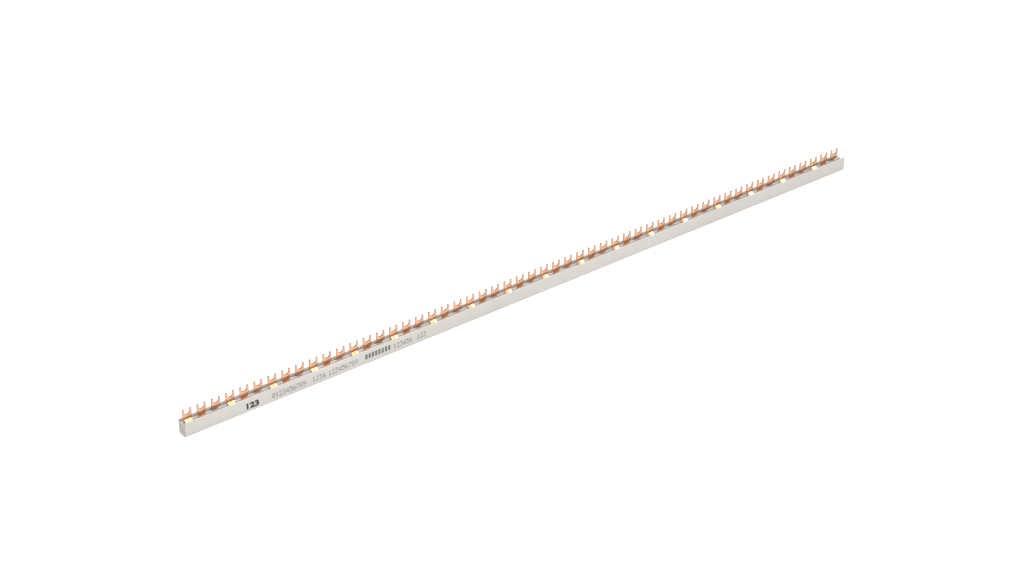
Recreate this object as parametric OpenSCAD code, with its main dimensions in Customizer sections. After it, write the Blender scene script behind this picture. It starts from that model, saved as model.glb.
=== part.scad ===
// Three-phase comb busbar: three punched and cranked copper combs lie side by side in an
// extruded insulating profile, and their forks stand in one row that changes phase from
// one module to the next. A cap closes each end of the profile.
// X runs along the row, the front wall faces -Y, and the flat base lies on Z = 0.

/* [Row of forks] */
// Distance from one fork to the next, one device module
module_pitch = 17.8; // [17.5:0.1:18.5]
// Number of forks in the row
fork_count = 54; // [3:1:57]
// Left end of the profile to the middle of the first fork
first_fork = 6.3; // [6.2:0.1:12]
// Middle of the last fork to the right end of the profile
last_fork = 11.5; // [6.2:0.1:20]

/* [Copper rails] */
// Thickness of the copper strip
copper_t = 1.5; // [1:0.1:1.8]
// Height of the strip that runs the whole length, below the forks
strip_h = 8; // [6:0.5:12]
// Play between a rail and each side of its slot
rail_play = 0.2; // [0.1:0.05:0.3]
// Inner radius of the bends in a cranked tongue
bend_r = 0.5; // [0.3:0.1:0.8]
// Room between the top of a divider and the crank that passes over it
crank_room = 1.8; // [0.5:0.1:3]

/* [Forks] */
// Width of the tongue that carries a fork
tongue_w = 8.2; // [7:0.1:9]
// Width over both prongs
fork_w = 11.1; // [10:0.1:12]
// Width of the slot between the prongs, which takes the terminal screw
fork_slot = 6.7; // [5:0.1:7]
// Depth of the slot from the prong tips to its round bottom
slot_depth = 7.7; // [5:0.1:9]
// Top of the crank to the bottom of the slot
neck_h = 5.3; // [4.8:0.1:8]
// Bottom of the slot down to where the fork starts to narrow
shoulder_drop = 0.9; // [0:0.1:1]
// Radius of the fork's shoulders
shoulder_r = 3; // [1.6:0.1:3]
// Radius on the corners of the prong tips
tip_r = 0.6; // [0.2:0.1:0.9]

/* [Insulating profile] */
// Thickness of the front and back walls
outer_wall = 1.1; // [0.8:0.1:2]
// Thickness of each divider between two rails
divider_t = 2.35; // [1.8:0.05:4]
// Thickness of the floor under the rails
floor_t = 1.5; // [1:0.1:3]
// Height of a divider above the strip beside it
divider_rise = 4.8; // [3:0.1:8]
// Height of the front and back walls above the dividers
wall_rise = 3.1; // [1:0.1:4]
// Radius along the two bottom edges
base_r = 0.8; // [0.3:0.1:1.4]
// Radius along the top edges of the walls
lip_r = 0.3; // [0.1:0.05:0.4]

/* [End caps] */
// Thickness of the flange that lies against the end of the profile
flange_t = 1.2; // [0.8:0.1:3]
// Length of the pegs that plug into the slots
peg_l = 1.8; // [1:0.1:1.9]
// Play between a peg and each side of its slot
peg_play = 0.05; // [0.05:0.05:0.2]
// Room between a peg and the end of the rail behind it
peg_room = 0.2; // [0.1:0.1:0.2]

/* [Hidden] */
$fn = 64;
eps = 0.01;
phases = 3;

slot_w = copper_t + 2 * rail_play;
rail_step = slot_w + divider_t;
depth = 2 * outer_wall + phases * slot_w + (phases - 1) * divider_t;
divider_z = floor_t + strip_h + divider_rise;
wall_z = divider_z + wall_rise;

crank_z = divider_z + crank_room + copper_t;
slot_z = crank_z + neck_h;
shoulder_z = slot_z - shoulder_drop;
tip_z = slot_z + slot_depth;
prong_w = (fork_w - fork_slot) / 2;

row_l = (fork_count - 1) * module_pitch;
profile_l = first_fork + row_l + last_fork;
rail_end = peg_l + peg_room;
rail_l = profile_l - 2 * rail_end;

plastic = "#dcd8d2";
cap_plastic = "#cbc6bd";
copper = "#c0764a";

function fork_x(i) = first_fork - profile_l / 2 + i * module_pitch;
function rail_y(phase) = (phase - 1) * rail_step;

// Stands a drawing of the cross-section (depth, height) upright and runs it along X
module along_row(length) rotate([90, 0, 90]) linear_extrude(length) children();

// Stands a drawing seen from the front upright and gives it a thickness about Y = 0
module seen_from_front(thickness)
    translate([0, thickness / 2, 0]) rotate([90, 0, 0]) linear_extrude(thickness) children();

// What a rounded corner at the drawing's origin takes away
module corner(r) difference() {
    translate([-eps, -eps]) square(r + eps);
    translate([r, r]) circle(r);
}

// The same corner on both sides of a strip that lies between x = 0 and x = w
module corner_pair(w, r) {
    corner(r);
    translate([w, 0]) mirror([1, 0]) corner(r);
}

// Outside of the cross-section: the base, both walls and the open channel above the dividers
module section_outline() translate([-depth / 2, 0]) difference() {
    square([depth, wall_z]);
    translate([outer_wall, divider_z]) square([depth - 2 * outer_wall, wall_rise + eps]);
    corner_pair(depth, base_r);
    for (x = [0, depth - outer_wall])
        translate([x, wall_z]) mirror([0, 1]) corner_pair(outer_wall, lip_r);
}

// One slot for a rail, narrowed by play on each side and kept clear of its floor and mouth
module slot_section(play = 0, height = wall_z) translate([-slot_w / 2 + play, floor_t + play])
    square([slot_w - 2 * play, height - 2 * play]);

module profile() color(plastic) translate([-profile_l / 2, 0, 0]) along_row(profile_l)
    difference() {
        section_outline();
        for (phase = [0 : phases - 1]) translate([rail_y(phase), 0]) slot_section();
    }

// One quarter of a bend: the sheet's section about the centre of its inner radius
module bend_section() intersection() {
    difference() {
        circle(bend_r + copper_t);
        circle(bend_r);
    }
    square(bend_r + copper_t);
}

// Section of a tongue and its fork: straight up in the fork row, or cranked to a rail that
// lies offset behind the row
module tongue_section(offset) {
    half = copper_t / 2;
    if (offset == 0) {
        translate([-half, floor_t]) square([copper_t, tip_z - floor_t]);
    } else {
        translate([-half, crank_z + bend_r]) square([copper_t, tip_z - crank_z - bend_r]);
        translate([half + bend_r, crank_z + bend_r]) rotate(180) bend_section();
        translate([half + bend_r, crank_z - copper_t])
            square([offset - copper_t - 2 * bend_r, copper_t]);
        translate([offset - half - bend_r, crank_z - copper_t - bend_r]) bend_section();
        translate([offset - half, floor_t]) square([copper_t, crank_z - copper_t - bend_r - floor_t]);
    }
}

// Punched outline of a tongue and its fork, seen from the front
module fork_outline() difference() {
    union() {
        translate([-tongue_w / 2, 0]) square([tongue_w, shoulder_z + eps]);
        translate([-fork_w / 2, shoulder_z]) square([fork_w, tip_z - shoulder_z]);
        for (side = [-1, 1]) translate([side * (fork_w / 2 - shoulder_r), shoulder_z])
            circle(shoulder_r);
    }
    translate([0, slot_z + fork_slot / 2]) circle(fork_slot / 2);
    translate([-fork_slot / 2, slot_z + fork_slot / 2]) square([fork_slot, tip_z]);
    for (x = [-fork_w / 2, fork_slot / 2])
        translate([x, tip_z]) mirror([0, 1]) corner_pair(prong_w, tip_r);
}

// One fork with its tongue, at X = 0, bent back to a rail at the given distance from the row
module fork(offset) intersection() {
    translate([-fork_w, 0, 0]) along_row(2 * fork_w)
        mirror([offset < 0 ? 1 : 0, 0]) tongue_section(abs(offset));
    seen_from_front(2 * depth) fork_outline();
}

// One comb: the strip and every third fork, punched from one sheet
module rail(phase) color(copper) {
    translate([-rail_l / 2, rail_y(phase) - copper_t / 2, floor_t])
        cube([rail_l, copper_t, strip_h]);
    for (i = [phase : phases : fork_count - 1])
        translate([fork_x(i), 0, 0]) fork(rail_y(phase));
}

module rail_l1() rail(0);
module rail_l2() rail(1);
module rail_l3() rail(2);

// A cap with its flange on the low side of X = 0 and its pegs in the slots above it
module end_cap() color(cap_plastic) {
    translate([-flange_t, 0, 0]) along_row(flange_t) section_outline();
    for (phase = [0 : phases - 1])
        translate([-eps, rail_y(phase), 0]) along_row(peg_l + eps)
            slot_section(peg_play, divider_z - floor_t);
}

module end_cap_left() translate([-profile_l / 2, 0, 0]) end_cap();
module end_cap_right() translate([profile_l / 2, 0, 0]) mirror([1, 0, 0]) end_cap();

profile();
rail_l1();
rail_l2();
rail_l3();
end_cap_left();
end_cap_right();
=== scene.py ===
import math

import bmesh
import bpy
from mathutils import Matrix, Vector


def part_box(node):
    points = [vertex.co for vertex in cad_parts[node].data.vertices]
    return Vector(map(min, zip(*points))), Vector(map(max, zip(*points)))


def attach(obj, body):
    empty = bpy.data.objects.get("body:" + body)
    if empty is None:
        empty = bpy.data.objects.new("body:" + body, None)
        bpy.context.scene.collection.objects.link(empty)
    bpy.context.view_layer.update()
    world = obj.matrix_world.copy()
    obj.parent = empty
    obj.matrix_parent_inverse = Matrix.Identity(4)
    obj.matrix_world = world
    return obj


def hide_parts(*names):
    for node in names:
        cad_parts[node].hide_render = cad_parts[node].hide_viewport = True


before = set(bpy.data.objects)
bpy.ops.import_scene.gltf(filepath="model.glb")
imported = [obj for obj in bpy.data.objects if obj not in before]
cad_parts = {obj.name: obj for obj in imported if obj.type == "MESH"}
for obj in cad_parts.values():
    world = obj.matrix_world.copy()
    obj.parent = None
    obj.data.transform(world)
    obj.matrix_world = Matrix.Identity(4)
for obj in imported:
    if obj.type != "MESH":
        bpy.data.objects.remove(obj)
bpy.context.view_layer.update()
MM = 0.001
scene = bpy.context.scene

# Camera -------------------------------------------------------------------------------
# A long lens from the front left, well above the bar, so that the row of forks climbs
# from the lower left to the upper right. No roll, no shift and no depth of field.
CAMERA_AT = (-1435.3, -1865.6, 1508.8)
CAMERA_TURN = 36.78
CAMERA_DIP = 32.65
CAMERA_LENS = 83.7

camera_data = bpy.data.cameras.new("camera")
camera_data.lens = CAMERA_LENS
camera_data.sensor_width = 36
camera_data.clip_end = 20
camera = bpy.data.objects.new("camera", camera_data)
camera.location = Vector(CAMERA_AT) * MM
camera.rotation_euler = (math.radians(90 - CAMERA_DIP), 0, math.radians(-CAMERA_TURN))
scene.collection.objects.link(camera)
scene.camera = camera


# Insulating profile -------------------------------------------------------------------
# One length of extruded rigid PVC: a base, two outer walls and two dividers that leave a
# slot for each copper comb. The die leaves every edge slightly round, and faint lines
# that run along the bar.
SLOTS = 3  # one for each copper comb
OUTER_WALL = 1.1
DIVIDER = 2.35
FLOOR = 1.5
DIVIDER_TOP = 14.3
BASE_RADIUS = 0.8
LIP_RADIUS = 0.3
MOUTH_RADIUS = 0.1
ROOT_RADIUS = 0.1
PVC_DARKER = "#d9d4ce"
PVC_PALER = "#dfdad5"
PVC_ROUGHNESS = (0.37, 0.49)
PVC_IOR = 1.53
PVC_CLOUDS = (110, 27.5, 27.5)  # size of the faint differences in tone
DIE_LINES = (160, 0.5, 0.5)  # coarser than real die lines, which would be too fine to show
DIE_RELIEF = (0.15, 0.02)  # strength and height
NOISE_SPAN = (0.3, 0.7)  # where most of a noise pattern's values lie
SHARP_EDGE = 40  # degrees


def linear(colour):
    """An sRGB hex colour as the linear colour that a socket takes."""
    parts = [int(colour[i : i + 2], 16) / 255 for i in (1, 3, 5)]
    return [p / 12.92 if p <= 0.04045 else ((p + 0.055) / 1.055) ** 2.4 for p in parts] + [1]


def add_node(tree, kind, settings=None, inputs=None):
    """Adds a node with its settings, and a value or a link for each input named or numbered."""
    node = tree.nodes.new(kind)
    for name, value in (settings or {}).items():
        setattr(node, name, value)
    for key, value in (inputs or {}).items():
        if isinstance(value, bpy.types.NodeSocket):
            tree.links.new(value, node.inputs[key])
        else:
            node.inputs[key].default_value = value
    return node


def start_material(name):
    """An empty material with its tree, and where its Object coordinates come out."""
    material = bpy.data.materials.new(name)
    material.use_nodes = True
    material.node_tree.nodes.clear()
    place = add_node(material.node_tree, "ShaderNodeTexCoord").outputs["Object"]
    return material, material.node_tree, place


def finish_material(tree, inputs):
    """Ends a material in a Principled shader with those inputs."""
    surface = add_node(tree, "ShaderNodeBsdfPrincipled", inputs=inputs)
    add_node(tree, "ShaderNodeOutputMaterial", inputs={"Surface": surface.outputs["BSDF"]})


def stretched_noise(tree, place, size, detail=2.0):
    """Noise whose features have that size in millimetres along X, Y and Z."""
    scale = [1 / (s * MM) for s in size]
    scaled = add_node(tree, "ShaderNodeMapping", inputs={"Vector": place, "Scale": scale}).outputs["Vector"]
    noise = add_node(tree, "ShaderNodeTexNoise", inputs={"Vector": scaled, "Scale": 1.0, "Detail": detail})
    return noise.outputs["Fac"]


def tone_over(tree, pattern, low, high, span=NOISE_SPAN):
    """A colour that goes from low to high while the pattern's value crosses the span."""
    share = add_node(
        tree, "ShaderNodeMapRange", inputs={"Value": pattern, "From Min": span[0], "From Max": span[1]}
    ).outputs["Result"]
    tone = add_node(tree, "ShaderNodeMix", {"data_type": "RGBA"}, {0: share, 6: low, 7: high})
    return tone.outputs[2]


def grained(tree, pattern, roughness, relief):
    """What a pattern does to a surface: it breaks up the gloss and raises a faint relief."""
    (dull_from, dull_to), (strength, height) = roughness, relief
    gloss = add_node(
        tree,
        "ShaderNodeMapRange",
        inputs={
            "Value": pattern,
            "From Min": NOISE_SPAN[0],
            "From Max": NOISE_SPAN[1],
            "To Min": dull_from,
            "To Max": dull_to,
        },
    )
    bump = add_node(
        tree, "ShaderNodeBump", inputs={"Height": pattern, "Strength": strength, "Distance": height * MM}
    )
    return {"Roughness": gloss.outputs["Result"], "Normal": bump.outputs["Normal"]}


def rounded(corners, steps=5):
    """A closed outline with right-angled corners (y, z, radius), each turned into an arc."""
    outline = []
    for i, (y, z, radius) in enumerate(corners):
        here = Vector((y, z))
        back = (Vector(corners[i - 1][:2]) - here).normalized()
        ahead = (Vector(corners[(i + 1) % len(corners)][:2]) - here).normalized()
        for step in range(steps + 1):
            turn = math.pi / 2 * step / steps
            outline.append(
                here + back * radius * (1 - math.sin(turn)) + ahead * radius * (1 - math.cos(turn))
            )
    return outline


def new_piece(name, mesh):
    """An object from a bmesh whose sizes are in millimetres."""
    bmesh.ops.transform(mesh, matrix=Matrix.Scale(MM, 4), verts=mesh.verts)
    data = bpy.data.meshes.new(name)
    mesh.to_mesh(data)
    mesh.free()
    piece = bpy.data.objects.new(name, data)
    scene.collection.objects.link(piece)
    return piece


profile_low, profile_high = (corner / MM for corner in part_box("profile"))
half_depth = profile_high.y
wall_top = profile_high.z
slot_width = (2 * half_depth - 2 * OUTER_WALL - (SLOTS - 1) * DIVIDER) / SLOTS
rail_step = slot_width + DIVIDER

section = [(-half_depth, 0, BASE_RADIUS), (half_depth, 0, BASE_RADIUS)]
section += [(half_depth, wall_top, LIP_RADIUS), (half_depth - OUTER_WALL, wall_top, LIP_RADIUS)]
for slot_y in (rail_step, 0, -rail_step):
    right, left = slot_y + slot_width / 2, slot_y - slot_width / 2
    if slot_y < rail_step:
        section += [(right, DIVIDER_TOP, MOUTH_RADIUS)]
    section += [(right, FLOOR, ROOT_RADIUS), (left, FLOOR, ROOT_RADIUS)]
    if slot_y > -rail_step:
        section += [(left, DIVIDER_TOP, MOUTH_RADIUS)]
section += [(-half_depth + OUTER_WALL, wall_top, LIP_RADIUS), (-half_depth, wall_top, LIP_RADIUS)]
outline = rounded(section)

mesh = bmesh.new()
ends = [[mesh.verts.new((x, y, z)) for y, z in outline] for x in (profile_low.x, profile_high.x)]
for i in range(len(outline)):
    wall = mesh.faces.new((ends[0][i - 1], ends[1][i - 1], ends[1][i], ends[0][i]))
    wall.smooth = True
for end in ends:
    mesh.faces.new(end)
bmesh.ops.recalc_face_normals(mesh, faces=mesh.faces)
profile = new_piece("insulating_profile", mesh)
profile.data.set_sharp_from_angle(angle=math.radians(SHARP_EDGE))

# Extruded PVC: satin, nearly even in tone, with a gloss that the die lines break up.
pvc, tree, place = start_material("extruded_pvc")
die_lines = stretched_noise(tree, place, DIE_LINES)
clouds = stretched_noise(tree, place, PVC_CLOUDS)
finish_material(
    tree,
    {
        "Base Color": tone_over(tree, clouds, linear(PVC_DARKER), linear(PVC_PALER)),
        "IOR": PVC_IOR,
        **grained(tree, die_lines, PVC_ROUGHNESS, DIE_RELIEF),
    },
)
profile.data.materials.append(pvc)
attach(profile, "root")
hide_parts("profile")


# End caps -----------------------------------------------------------------------------
# The same moulded cap at each end of the profile, turned round for the other end: a flange
# with one wall as high as the profile's and the other side level with its dividers, held
# by three pegs that are pressed into the slots. The mould leaves its edges a little round.
CAP_EDGE = 0.15
# The caps' grey is darker than the profile's, partly painted shade matched to their shaded end faces.
CAP_DARKER = "#c4bfb6"
CAP_PALER = "#cdc9c1"
CAP_ROUGHNESS = (0.45, 0.58)
CAP_RELIEF = (0.2, 0.02)
CAP_GRAIN = (0.8, 0.8, 0.8)
CAP_IOR = 1.53
ROUNDED_AREA = 4  # square millimetres: a smaller face belongs to a rounded edge
WELD = 0.001  # corners closer than this are one
FLAT_WITHIN = 1  # degrees between faces that are one flat face

# Moulded polyamide: duller and darker than the profile, with a fine even grain from the mould.
# The darker grey is partly painted shade: it was matched to the caps' end faces, which stand in shade.
polyamide, tree, place = start_material("moulded_polyamide")
grain = stretched_noise(tree, place, CAP_GRAIN)
finish_material(
    tree,
    {
        "Base Color": tone_over(tree, grain, linear(CAP_DARKER), linear(CAP_PALER)),
        "IOR": CAP_IOR,
        **grained(tree, grain, CAP_ROUGHNESS, CAP_RELIEF),
    },
)

for side, low_side in (("left", -1), ("right", 1)):
    mesh = bmesh.new()
    mesh.from_mesh(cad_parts["end_cap_" + side].data)
    bmesh.ops.transform(mesh, matrix=Matrix.Scale(1 / MM, 4), verts=mesh.verts)
    bmesh.ops.remove_doubles(mesh, verts=mesh.verts, dist=WELD)
    whole = mesh.verts[:] + mesh.edges[:] + mesh.faces[:]
    bmesh.ops.bisect_plane(mesh, geom=whole, plane_co=(0, 0, DIVIDER_TOP), plane_no=(0, 0, 1))
    above = [v for v in mesh.verts if v.co.z > DIVIDER_TOP + CAP_EDGE and v.co.y * low_side > 0]
    bmesh.ops.delete(mesh, geom=above, context="VERTS")
    bmesh.ops.holes_fill(mesh, edges=[e for e in mesh.edges if e.is_boundary], sides=0)
    bmesh.ops.recalc_face_normals(mesh, faces=mesh.faces)
    bmesh.ops.dissolve_limit(
        mesh,
        angle_limit=math.radians(FLAT_WITHIN),
        verts=mesh.verts,
        edges=mesh.edges,
        use_dissolve_boundaries=False,
    )
    corners = [e for e in mesh.edges if e.calc_face_angle(0) > math.radians(SHARP_EDGE)]
    bmesh.ops.bevel(
        mesh,
        geom=corners,
        offset=CAP_EDGE,
        offset_type="OFFSET",
        segments=3,
        profile=0.5,
        affect="EDGES",
        clamp_overlap=True,
    )
    for face in mesh.faces:
        face.smooth = face.calc_area() < ROUNDED_AREA
    cap = new_piece("cap_" + side, mesh)
    cap.data.set_sharp_from_angle(angle=math.radians(SHARP_EDGE))
    cap.data.materials.append(polyamide)
    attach(cap, "root")
    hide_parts("end_cap_" + side)


# Copper combs -------------------------------------------------------------------------
# Three combs, each punched from one rolled copper strip. Every third fork is on the same
# comb, and the two outer combs have their tongues cranked twice, so that all the forks
# stand in one row. The punch leaves the cut edges duller and slightly round.
COPPER = 1.5
STRIP_HEIGHT = 8
BEND_RADIUS = 0.5
JOGGLE_ANGLE = 52
JOGGLE_START = DIVIDER_TOP - 0.2  # where a tongue starts to lean over the divider
TONGUE = 8.2
FORK = 11.1
FORK_SLOT = 6.7
FORK_SLOT_BOTTOM = 24.2
SHOULDER = 22.3
SHOULDER_RADIUS = 5
TIP_RADIUS = 0.6
CUT_ROUND = 0.16
MITRE_LIMIT = 0.5  # keeps a tight corner of the rounding from running out
MODULE = 17.8
FIRST_FORK = 6.3
FORKS = 54
COPPER_COLOUR = "#efb98f"
COPPER_TARNISH = "#e5a97c"
# Towards the tips the copper is painted paler and less orange: a painted reflection of the white room above
# them.
COPPER_PAINTED_REFLECTION = "#dbb098"
PAINTED_REFLECTION_FROM = (19.5, 26)  # the heights between which the copper turns less orange
COPPER_ROUGHNESS = (0.2, 0.33)
ROLLING_LINES = (40, 0.6, 0.6)
ROLLING_RELIEF = (0.05, 0.01)
TARNISH = (14, 14, 14)
TARNISH_SPAN = (0.4, 0.75)
CUT_COLOUR = "#c4977d"
# Upward-facing cut edges turn to this dark brown, a painted dark reflection.
CUT_PAINTED_DARK = "#5d4b42"
CUT_ROUGHNESS = (0.42, 0.6)
CUT_GRAIN = (0.5, 0.5, 0.25)
CUT_RELIEF = (0.4, 0.05)
FACING_UP = (0.1, 0.8)  # from a side edge to one that is brown all over
COPPER_SHARP_EDGE = 50
JOIN = 0.01  # cells closer than this are joined
OUTER_SHARE = 0.4  # how far from the first and the last fork, as a share of a comb's pitch

tip_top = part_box("rail_l2")[1].z / MM
rail_start, rail_end = (corner.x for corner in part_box("rail_l1"))
slope = math.radians(JOGGLE_ANGLE)
bend = BEND_RADIUS + COPPER / 2
joggle_height = 2 * bend * math.sin(slope) + (rail_step - 2 * bend * (1 - math.cos(slope))) / math.tan(slope)
joggle_top = JOGGLE_START + joggle_height


def arc(centre, radius, start, end, steps):
    """Points on an arc between two angles in degrees."""
    turns = [math.radians(start + (end - start) * i / steps) for i in range(steps + 1)]
    return [Vector((centre[0] + radius * math.cos(t), centre[1] + radius * math.sin(t))) for t in turns]


def fork_edge():
    """The punched edge over a fork, from the left side of its tongue round to the right."""
    side, prong = FORK / 2, (FORK - FORK_SLOT) / 2
    narrowing = math.degrees(math.acos((TONGUE / 2 - side + SHOULDER_RADIUS) / SHOULDER_RADIUS))
    left = arc((-side + SHOULDER_RADIUS, SHOULDER), SHOULDER_RADIUS, 180 + narrowing, 180, 6)
    left += arc((-side + TIP_RADIUS, tip_top - TIP_RADIUS), TIP_RADIUS, 180, 90, 4)
    left += arc((-side + prong - TIP_RADIUS, tip_top - TIP_RADIUS), TIP_RADIUS, 90, 0, 4)
    left += arc((0, FORK_SLOT_BOTTOM + FORK_SLOT / 2), FORK_SLOT / 2, 180, 270, 10)
    return left + [Vector((-p.x, p.y)) for p in reversed(left[:-1])]


def tongue_line(offset):
    """The middle of the bent sheet in Y and Z, from its strip up to where the fork is flat."""
    if not offset:
        return [Vector((0, FLOOR + STRIP_HEIGHT)), Vector((0, joggle_top))]
    side = math.copysign(1, offset)
    line = [Vector((abs(offset), FLOOR + STRIP_HEIGHT))]
    line += arc((abs(offset) - bend, JOGGLE_START), bend, 0, JOGGLE_ANGLE, 5)
    line += arc((bend, joggle_top), bend, 180 + JOGGLE_ANGLE, 180, 5)
    return [Vector((p.x * side, p.y)) for p in line]


def inset(line, distance):
    """An open line moved to its right by a distance, with mitred corners."""
    moved = []
    for i, here in enumerate(line):
        before = (here - line[i - 1]).normalized() if i else None
        after = (line[i + 1] - here).normalized() if i + 1 < len(line) else before
        before = before or after
        across = Vector((before.y + after.y, -before.x - after.x)).normalized()
        moved.append(here + across * distance / max(MITRE_LIMIT, across.dot(Vector((before.y, -before.x)))))
    return moved


def comb_cell(name, offset):
    """One fork, its tongue and the stretch of strip round it, with open ends to join on."""
    reach = SLOTS * MODULE / 2
    strip_top = FLOOR + STRIP_HEIGHT
    line = tongue_line(offset)
    rows = len(line)
    tangents = [(line[min(i + 1, rows - 1)] - line[max(i - 1, 0)]).normalized() for i in range(rows)]
    tangents[0] = tangents[-1] = Vector((0, 1))
    flat_from = strip_top + rows
    # The edge is laid out on the flat sheet, with the tongue's rows one millimetre apart.
    up_left = [Vector((-TONGUE / 2, strip_top + i)) for i in range(rows)]
    fork = [Vector((p.x, p.y + flat_from - joggle_top)) for p in fork_edge()]
    edge = [Vector((-reach, strip_top))] + up_left + fork
    edge += [Vector((-p.x, p.y)) for p in reversed(up_left)] + [Vector((reach, strip_top))]
    foot = [Vector((reach, FLOOR)), Vector((-reach, FLOOR))]

    def bent(point, i, out):
        """Where a point of the flat sheet lies, out towards its front face."""
        if i is None:
            return (point.x, -out, point.y - flat_from + joggle_top)
        middle, along = line[i], tangents[i]
        return (point.x, middle.x - along.y * out, middle.y + along.x * out + (point.y - strip_top - i))

    half, soft = COPPER / 2, CUT_ROUND
    levels = [(soft, half), (0.3 * soft, half - 0.3 * soft), (0, half - soft)]
    levels += [(d, -out) for d, out in reversed(levels)]
    mesh = bmesh.new()
    cut = mesh.faces.layers.bool.new("cut_edge")
    tops, feet = [], []
    count = len(edge)
    for distance, out in levels:
        moved = inset(edge, distance)
        moved[0].x, moved[-1].x = -reach, reach
        ring = []
        for k, point in enumerate(moved):
            if k in (0, count - 1):
                spot = (point.x, line[0].x - out, point.y)
            elif k <= rows:
                spot = bent(point, k - 1, out)
            elif k >= count - 1 - rows:
                spot = bent(point, count - 2 - k, out)
            else:
                spot = bent(point, None, out)
            ring.append(mesh.verts.new(spot))
        tops.append(ring)
        feet.append([mesh.verts.new((p.x, line[0].x - out, p.y + distance)) for p in foot])
        under = TONGUE / 2 - distance
        feet[-1][1:1] = [mesh.verts.new((x, line[0].x - out, FLOOR + distance)) for x in (under, -under)]
    for rings in (tops, feet):
        for a in range(len(levels) - 1):
            for k in range(len(rings[a]) - 1):
                face = mesh.faces.new((rings[a][k], rings[a][k + 1], rings[a + 1][k + 1], rings[a + 1][k]))
                face.smooth = True
                face[cut] = 1 <= a <= 3
    for a in (0, len(levels) - 1):
        top, low = tops[a], feet[a]
        mesh.faces.new((low[3], low[2], top[1], top[0]))
        mesh.faces.new((low[2], low[1], top[count - 2], top[1]))
        mesh.faces.new((low[1], low[0], top[count - 1], top[count - 2]))
        for k in range(1, rows):
            face = mesh.faces.new((top[k], top[k + 1], top[count - 2 - k], top[count - 1 - k]))
            face.smooth = True
        mesh.faces.new(top[rows : count - rows])
    bmesh.ops.recalc_face_normals(mesh, faces=mesh.faces)
    return new_piece(name, mesh)


# Rolled copper: a warm metal with a soft gloss, drawn out in the direction of rolling,
# a little browner here and there, and painted paler and less orange towards the tips: a painted
# reflection of the white room, which the prongs show above the shaded channel.
rolled, tree, place = start_material("rolled_copper")
rolling = stretched_noise(tree, place, ROLLING_LINES)
tarnish = stretched_noise(tree, place, TARNISH, detail=4.0)
height = add_node(tree, "ShaderNodeSeparateXYZ", inputs={"Vector": place}).outputs["Z"]
warm = tone_over(tree, tarnish, linear(COPPER_COLOUR), linear(COPPER_TARNISH), TARNISH_SPAN)
finish_material(
    tree,
    {
        # Above the first height the copper turns to a painted reflection, paler and less orange.
        "Base Color": tone_over(tree, height, warm, linear(COPPER_PAINTED_REFLECTION), [z * MM for z in PAINTED_REFLECTION_FROM]),
        "Metallic": 1.0,
        **grained(tree, rolling, COPPER_ROUGHNESS, ROLLING_RELIEF),
    },
)

# Cut copper: where the punch has sheared the sheet, torn and dull. Where an edge faces up,
# it is painted dark brown: a painted dark reflection, like the one that the tips' tops show.
sheared, tree, place = start_material("sheared_copper_edge")
torn = stretched_noise(tree, place, CUT_GRAIN, detail=3.0)
normal = place.node.outputs["Normal"]
facing = add_node(tree, "ShaderNodeSeparateXYZ", inputs={"Vector": normal}).outputs["Z"]
# The colour turns dark brown as an edge faces up: a painted dark reflection.
finish_material(
    tree,
    {
        "Base Color": tone_over(tree, facing, linear(CUT_COLOUR), linear(CUT_PAINTED_DARK), FACING_UP),
        "Metallic": 1.0,
        **grained(tree, torn, CUT_ROUGHNESS, CUT_RELIEF),
    },
)


def start_group(name, inputs, output):
    """An empty Geometry Nodes tree, its inputs' identifiers, and where its inputs come out."""
    group = bpy.data.node_groups.new(name, "GeometryNodeTree")
    group.is_modifier = True
    ids = {}
    for title, kind in inputs.items():
        ids[title] = group.interface.new_socket(title, in_out="INPUT", socket_type=kind).identifier
    group.interface.new_socket(output, in_out="OUTPUT", socket_type="NodeSocketGeometry")
    return group, ids, group.nodes.new("NodeGroupInput").outputs


def run_group(piece, group, ids, values):
    """Runs a tree on a piece with those values, and keeps the plain mesh that it makes."""
    modifier = piece.modifiers.new(group.name, "NODES")
    modifier.node_group = group
    for title, value in values.items():
        modifier[ids[title]] = value
    made = bpy.data.meshes.new_from_object(piece.evaluated_get(bpy.context.evaluated_depsgraph_get()))
    piece.modifiers.clear()
    piece.data = made
    piece.data.name = piece.name


# The row: one cell repeated along the strip, joined end to end, its two outer ends drawn
# out to the ends of the rail.
row_inputs = {
    "Cell": "NodeSocketGeometry",
    "Forks": "NodeSocketInt",
    "First fork": "NodeSocketFloat",
    "Pitch": "NodeSocketFloat",
    "Rail start": "NodeSocketFloat",
    "Rail end": "NodeSocketFloat",
    "Sheet": "NodeSocketMaterial",
    "Cut edge": "NodeSocketMaterial",
}
row, row_ids, given = start_group("comb_row", row_inputs, "Comb")
first_place = add_node(row, "ShaderNodeCombineXYZ", inputs={"X": given["First fork"]})
next_place = add_node(row, "ShaderNodeCombineXYZ", inputs={"X": given["Pitch"]})
line = add_node(
    row,
    "GeometryNodeMeshLine",
    {"mode": "OFFSET"},
    {
        "Count": given["Forks"],
        "Start Location": first_place.outputs["Vector"],
        "Offset": next_place.outputs["Vector"],
    },
)
cells = add_node(
    row, "GeometryNodeInstanceOnPoints", inputs={"Points": line.outputs["Mesh"], "Instance": given["Cell"]}
)
flow = add_node(row, "GeometryNodeRealizeInstances", inputs={"Geometry": cells.outputs["Instances"]})
here = add_node(row, "GeometryNodeInputPosition").outputs["Position"]
here = add_node(row, "ShaderNodeSeparateXYZ", inputs={"Vector": here}).outputs

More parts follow.
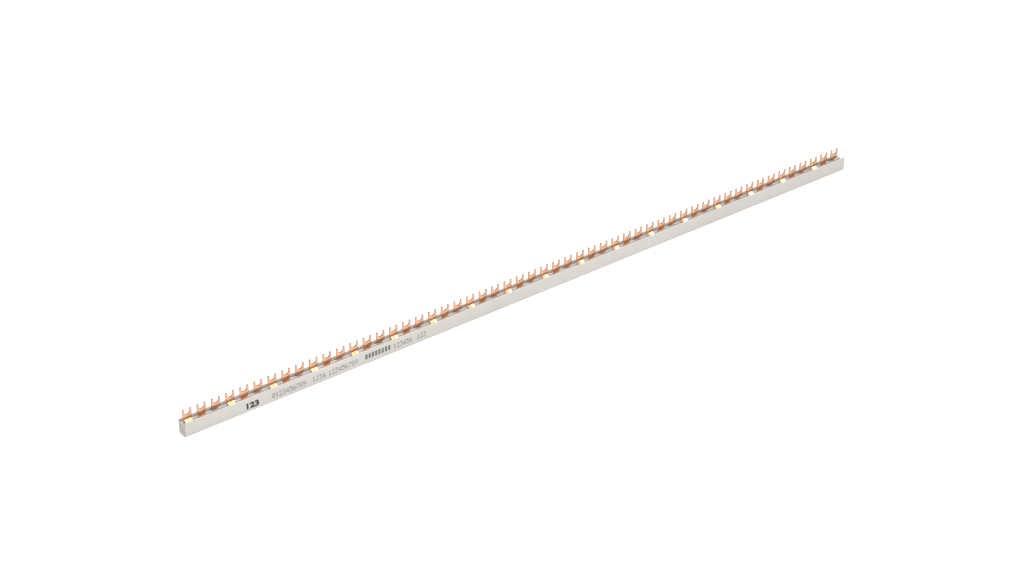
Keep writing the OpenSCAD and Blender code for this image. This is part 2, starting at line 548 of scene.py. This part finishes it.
# What lies well outside the first and the last fork is drawn out to the end of the rail.
past_last = add_node(
    row,
    "ShaderNodeMath",
    {"operation": "MULTIPLY_ADD"},
    {0: given["Forks"], 1: given["Pitch"], 2: given["First fork"]},
).outputs[0]
outer_ends = (
    ("LESS_THAN", given["First fork"], -OUTER_SHARE, given["Rail start"]),
    ("GREATER_THAN", past_last, OUTER_SHARE - 1, given["Rail end"]),
)
for operation, fork_place, share, end in outer_ends:
    limit = add_node(
        row, "ShaderNodeMath", {"operation": "MULTIPLY_ADD"}, {0: given["Pitch"], 1: share, 2: fork_place}
    )
    beyond = add_node(
        row,
        "FunctionNodeCompare",
        {"data_type": "FLOAT", "operation": operation},
        {0: here["X"], 1: limit.outputs[0]},
    )
    drawn_out = add_node(row, "ShaderNodeCombineXYZ", inputs={"X": end, "Y": here["Y"], "Z": here["Z"]})
    flow = add_node(
        row,
        "GeometryNodeSetPosition",
        inputs={
            "Geometry": flow.outputs["Geometry"],
            "Selection": beyond.outputs["Result"],
            "Position": drawn_out.outputs["Vector"],
        },
    )
flow = add_node(
    row,
    "GeometryNodeMergeByDistance",
    inputs={"Geometry": flow.outputs["Geometry"], "Distance": JOIN * MM},
)
is_cut = add_node(row, "GeometryNodeInputNamedAttribute", {"data_type": "BOOLEAN"}, {"Name": "cut_edge"})
for chosen, material in ((True, "Sheet"), (is_cut.outputs["Attribute"], "Cut edge")):
    flow = add_node(
        row,
        "GeometryNodeSetMaterial",
        inputs={"Geometry": flow.outputs["Geometry"], "Selection": chosen, "Material": given[material]},
    )
add_node(row, "NodeGroupOutput", inputs={"Comb": flow.outputs["Geometry"]})

for phase in range(SLOTS):
    comb = comb_cell("copper_comb_l" + str(phase + 1), (phase - 1) * rail_step)
    values = {
        "Forks": FORKS // SLOTS,
        "First fork": profile_low.x * MM + (FIRST_FORK + phase * MODULE) * MM,
        "Pitch": SLOTS * MODULE * MM,
        "Rail start": rail_start,
        "Rail end": rail_end,
        "Sheet": rolled,
        "Cut edge": sheared,
    }
    run_group(comb, row, row_ids, values)
    mesh = bmesh.new()
    mesh.from_mesh(comb.data)
    bmesh.ops.holes_fill(mesh, edges=[e for e in mesh.edges if e.is_boundary], sides=0)
    bmesh.ops.recalc_face_normals(mesh, faces=mesh.faces)
    mesh.to_mesh(comb.data)
    mesh.free()
    comb.data.set_sharp_from_angle(angle=math.radians(COPPER_SHARP_EDGE))
    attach(comb, "root")
    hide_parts("rail_l" + str(phase + 1))


# Printed marks ------------------------------------------------------------------------
# Ink on the front wall: a bold number from a pad printer, and paler rows of dots that an
# ink-jet sprays on as the profile leaves the die. Plain numerals and bars that say nothing.
INK_LIFT = 0.02  # keeps the ink from being lost in the wall
BOLD_NUMBER = "123"
BOLD_SIZE = (16, 8)
BOLD_PLACE = (75.6, 3.4)  # from the profile's left end, and above its base
BOLD_WEIGHT = 0.055  # fattens the plain font, as a share of its size
CHARACTER_PITCH = 4.4
CHARACTER_HEIGHT = 6.5
DOT_SIZE = 0.92
DOT_COUNTS = (5, 7)  # across and up, in one character
DOT_ROWS = {
    "0": ".###. #...# #..## #.#.# ##..# #...# .###.",
    "1": "..#.. .##.. ..#.. ..#.. ..#.. ..#.. .###.",
    "2": ".###. #...# ....# ...#. ..#.. .#... #####",
    "3": "##### ...#. ..#.. ...#. ....# #...# .###.",
    "4": "...#. ..##. .#.#. #..#. ##### ...#. ...#.",
    "5": "##### #.... ####. ....# ....# #...# .###.",
    "6": "..##. .#... #.... ####. #...# #...# .###.",
    "7": "##### ....# ...#. ..#.. .#... .#... .#...",
    "8": ".###. #...# #...# .###. #...# #...# .###.",
    "9": ".###. #...# #...# .#### ....# ...#. .##..",
    "|": "####. ####. ####. ####. ####. ####. ####.",
}
DOT_LINES = (
    # (from the profile's left end, above its base, marks)
    (108.6, 4.4, "0123456789"),
    (160.6, 4.5, "1234"),
    (181.6, 4.7, "123456789"),
    (230.6, 6.0, "||||||||"),
    (268.6, 5.1, "123456"),
    (300.6, 5.3, "123"),
)
PAD_INK = "#3a3533"
JET_INK = "#605c59"
INK_ROUGHNESS = 0.55
DOT_CORNERS = 8

# Pad-printing ink: nearly black, dull and even.
pad_ink, tree, place = start_material("pad_printing_ink")
finish_material(tree, {"Base Color": linear(PAD_INK), "Roughness": INK_ROUGHNESS})

# Ink-jet ink: grey and thin, so that it stays paler than the bold number.
jet_ink, tree, place = start_material("ink_jet_ink")
finish_material(tree, {"Base Color": linear(JET_INK), "Roughness": INK_ROUGHNESS})

lettering = bpy.data.curves.new("bold_number", "FONT")
lettering.body = BOLD_NUMBER
lettering.offset = BOLD_WEIGHT
written = bpy.data.objects.new("bold_number", lettering)
scene.collection.objects.link(written)
mesh = bmesh.new()
mesh.from_mesh(bpy.data.meshes.new_from_object(written))
bpy.data.objects.remove(written)
lowest, highest = ([pick(v.co[axis] for v in mesh.verts) for axis in (0, 1)] for pick in (min, max))
for vert in mesh.verts:
    across, up = (
        (vert.co[axis] - lowest[axis]) / (highest[axis] - lowest[axis]) * BOLD_SIZE[axis] for axis in (0, 1)
    )
    vert.co = (profile_low.x + BOLD_PLACE[0] + across, -half_depth - INK_LIFT, BOLD_PLACE[1] + up)
number = new_piece("printed_number", mesh)
number.data.materials.append(pad_ink)

mesh = bmesh.new()
for start, above_base, marks in DOT_LINES:
    for i, mark in enumerate(marks):
        for line_up, dots in enumerate(reversed(DOT_ROWS[mark].split())):
            for column, dot in enumerate(dots):
                across = start + i * CHARACTER_PITCH + (column + 0.5) * CHARACTER_PITCH / (DOT_COUNTS[0] + 1)
                up = above_base + (line_up + 0.5) * CHARACTER_HEIGHT / DOT_COUNTS[1]
                if dot == "#":
                    mesh.verts.new((profile_low.x + across, -half_depth - INK_LIFT, up))
jet_marks = new_piece("ink_jet_marks", mesh)

spray_inputs = {"Places": "NodeSocketGeometry", "Dot size": "NodeSocketFloat", "Ink": "NodeSocketMaterial"}
spray, spray_ids, given = start_group("spray_dots", spray_inputs, "Dots")
radius = add_node(spray, "ShaderNodeMath", {"operation": "MULTIPLY"}, {0: given["Dot size"], 1: 0.5})
disc = add_node(
    spray,
    "GeometryNodeMeshCircle",
    {"fill_type": "NGON"},
    {"Vertices": DOT_CORNERS, "Radius": radius.outputs[0]},
)
discs = add_node(
    spray,
    "GeometryNodeInstanceOnPoints",
    inputs={"Points": given["Places"], "Instance": disc.outputs["Mesh"], "Rotation": (math.pi / 2, 0, 0)},
)
flow = add_node(spray, "GeometryNodeRealizeInstances", inputs={"Geometry": discs.outputs["Instances"]})
flow = add_node(
    spray,
    "GeometryNodeSetMaterial",
    inputs={"Geometry": flow.outputs["Geometry"], "Material": given["Ink"]},
)
add_node(spray, "NodeGroupOutput", inputs={"Dots": flow.outputs["Geometry"]})
run_group(jet_marks, spray, spray_ids, {"Dot size": DOT_SIZE * MM, "Ink": jet_ink})

for printed in (number, jet_marks):
    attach(printed, "root")


# Floor --------------------------------------------------------------------------------
# A plain white sheet under the bar. The camera and the copper see it as white, and it
# still takes the bar's soft shadow.
FLOOR_SIZE = 6000
FLOOR_DROP = 0.02  # keeps the sheet clear of the bar's base
FLOOR_GLOW = 0.3
FLOOR_COLOUR = "#e6e6e6"
FLOOR_ROUGHNESS = 0.9
WHITE = "#ffffff"


def seen_directly(tree):
    """One for what the camera sees or a gloss or a clear part shows, and nothing for diffuse light."""
    path = add_node(tree, "ShaderNodeLightPath").outputs
    seen = path["Is Camera Ray"]
    for kind in ("Is Glossy Ray", "Is Transmission Ray"):
        seen = add_node(tree, "ShaderNodeMath", {"operation": "MAXIMUM"}, {0: seen, 1: path[kind]}).outputs[0]
    return seen


mesh = bmesh.new()
bmesh.ops.create_grid(mesh, x_segments=1, y_segments=1, size=FLOOR_SIZE / 2)
bmesh.ops.translate(mesh, vec=(0, 0, -FLOOR_DROP), verts=mesh.verts)
floor = new_piece("floor", mesh)
paper, tree, place = start_material("white_paper")
glow = add_node(tree, "ShaderNodeMath", {"operation": "MULTIPLY"}, {0: seen_directly(tree), 1: FLOOR_GLOW})
finish_material(
    tree,
    {
        "Base Color": linear(FLOOR_COLOUR),
        "Roughness": FLOOR_ROUGHNESS,
        "Specular IOR Level": 0.0,
        "Emission Color": linear(WHITE),
        "Emission Strength": glow.outputs[0],
    },
)
floor.data.materials.append(paper)


# Light --------------------------------------------------------------------------------
# A white room, a bright soft box high on the right that glints on the leaning tongues, a
# nearer one high in front of the bar's left half, and one overhead, a little behind.
ROOM_LIGHT = 0.55
SOFT_BOXES = {
    # name: (direction from the bar, distance, size, brightness)
    "key_box": ((0.71, -0.34, 0.62), 4500, 2200, 3.3),
    "front_box": ((-0.3, -0.5, 0.81), 1250, 1000, 1.75),
    "top_box": ((-0.15, 0.3, 0.95), 2600, 1700, 2.2),
}

world = bpy.data.worlds.new("white_room")
scene.world = world
world.use_nodes = True
world.node_tree.nodes.clear()
tree = world.node_tree
level = add_node(
    tree,
    "ShaderNodeMapRange",
    inputs={"Value": seen_directly(tree), "To Min": ROOM_LIGHT, "To Max": 1.0},
)
room = add_node(
    tree, "ShaderNodeBackground", inputs={"Color": linear(WHITE), "Strength": level.outputs["Result"]}
)
add_node(tree, "ShaderNodeOutputWorld", inputs={"Surface": room.outputs["Background"]})

for name, (direction, distance, size, brightness) in SOFT_BOXES.items():
    box_data = bpy.data.lights.new(name, "AREA")
    box_data.shape = "SQUARE"
    box_data.size = size * MM
    box_data.energy = brightness * math.pi * (size * MM) ** 2
    soft_box = bpy.data.objects.new(name, box_data)
    towards = Vector(direction).normalized()
    soft_box.location = towards * distance * MM
    soft_box.rotation_euler = towards.to_track_quat("Z", "Y").to_euler()
    scene.collection.objects.link(soft_box)

scene.view_settings.view_transform = "Standard"
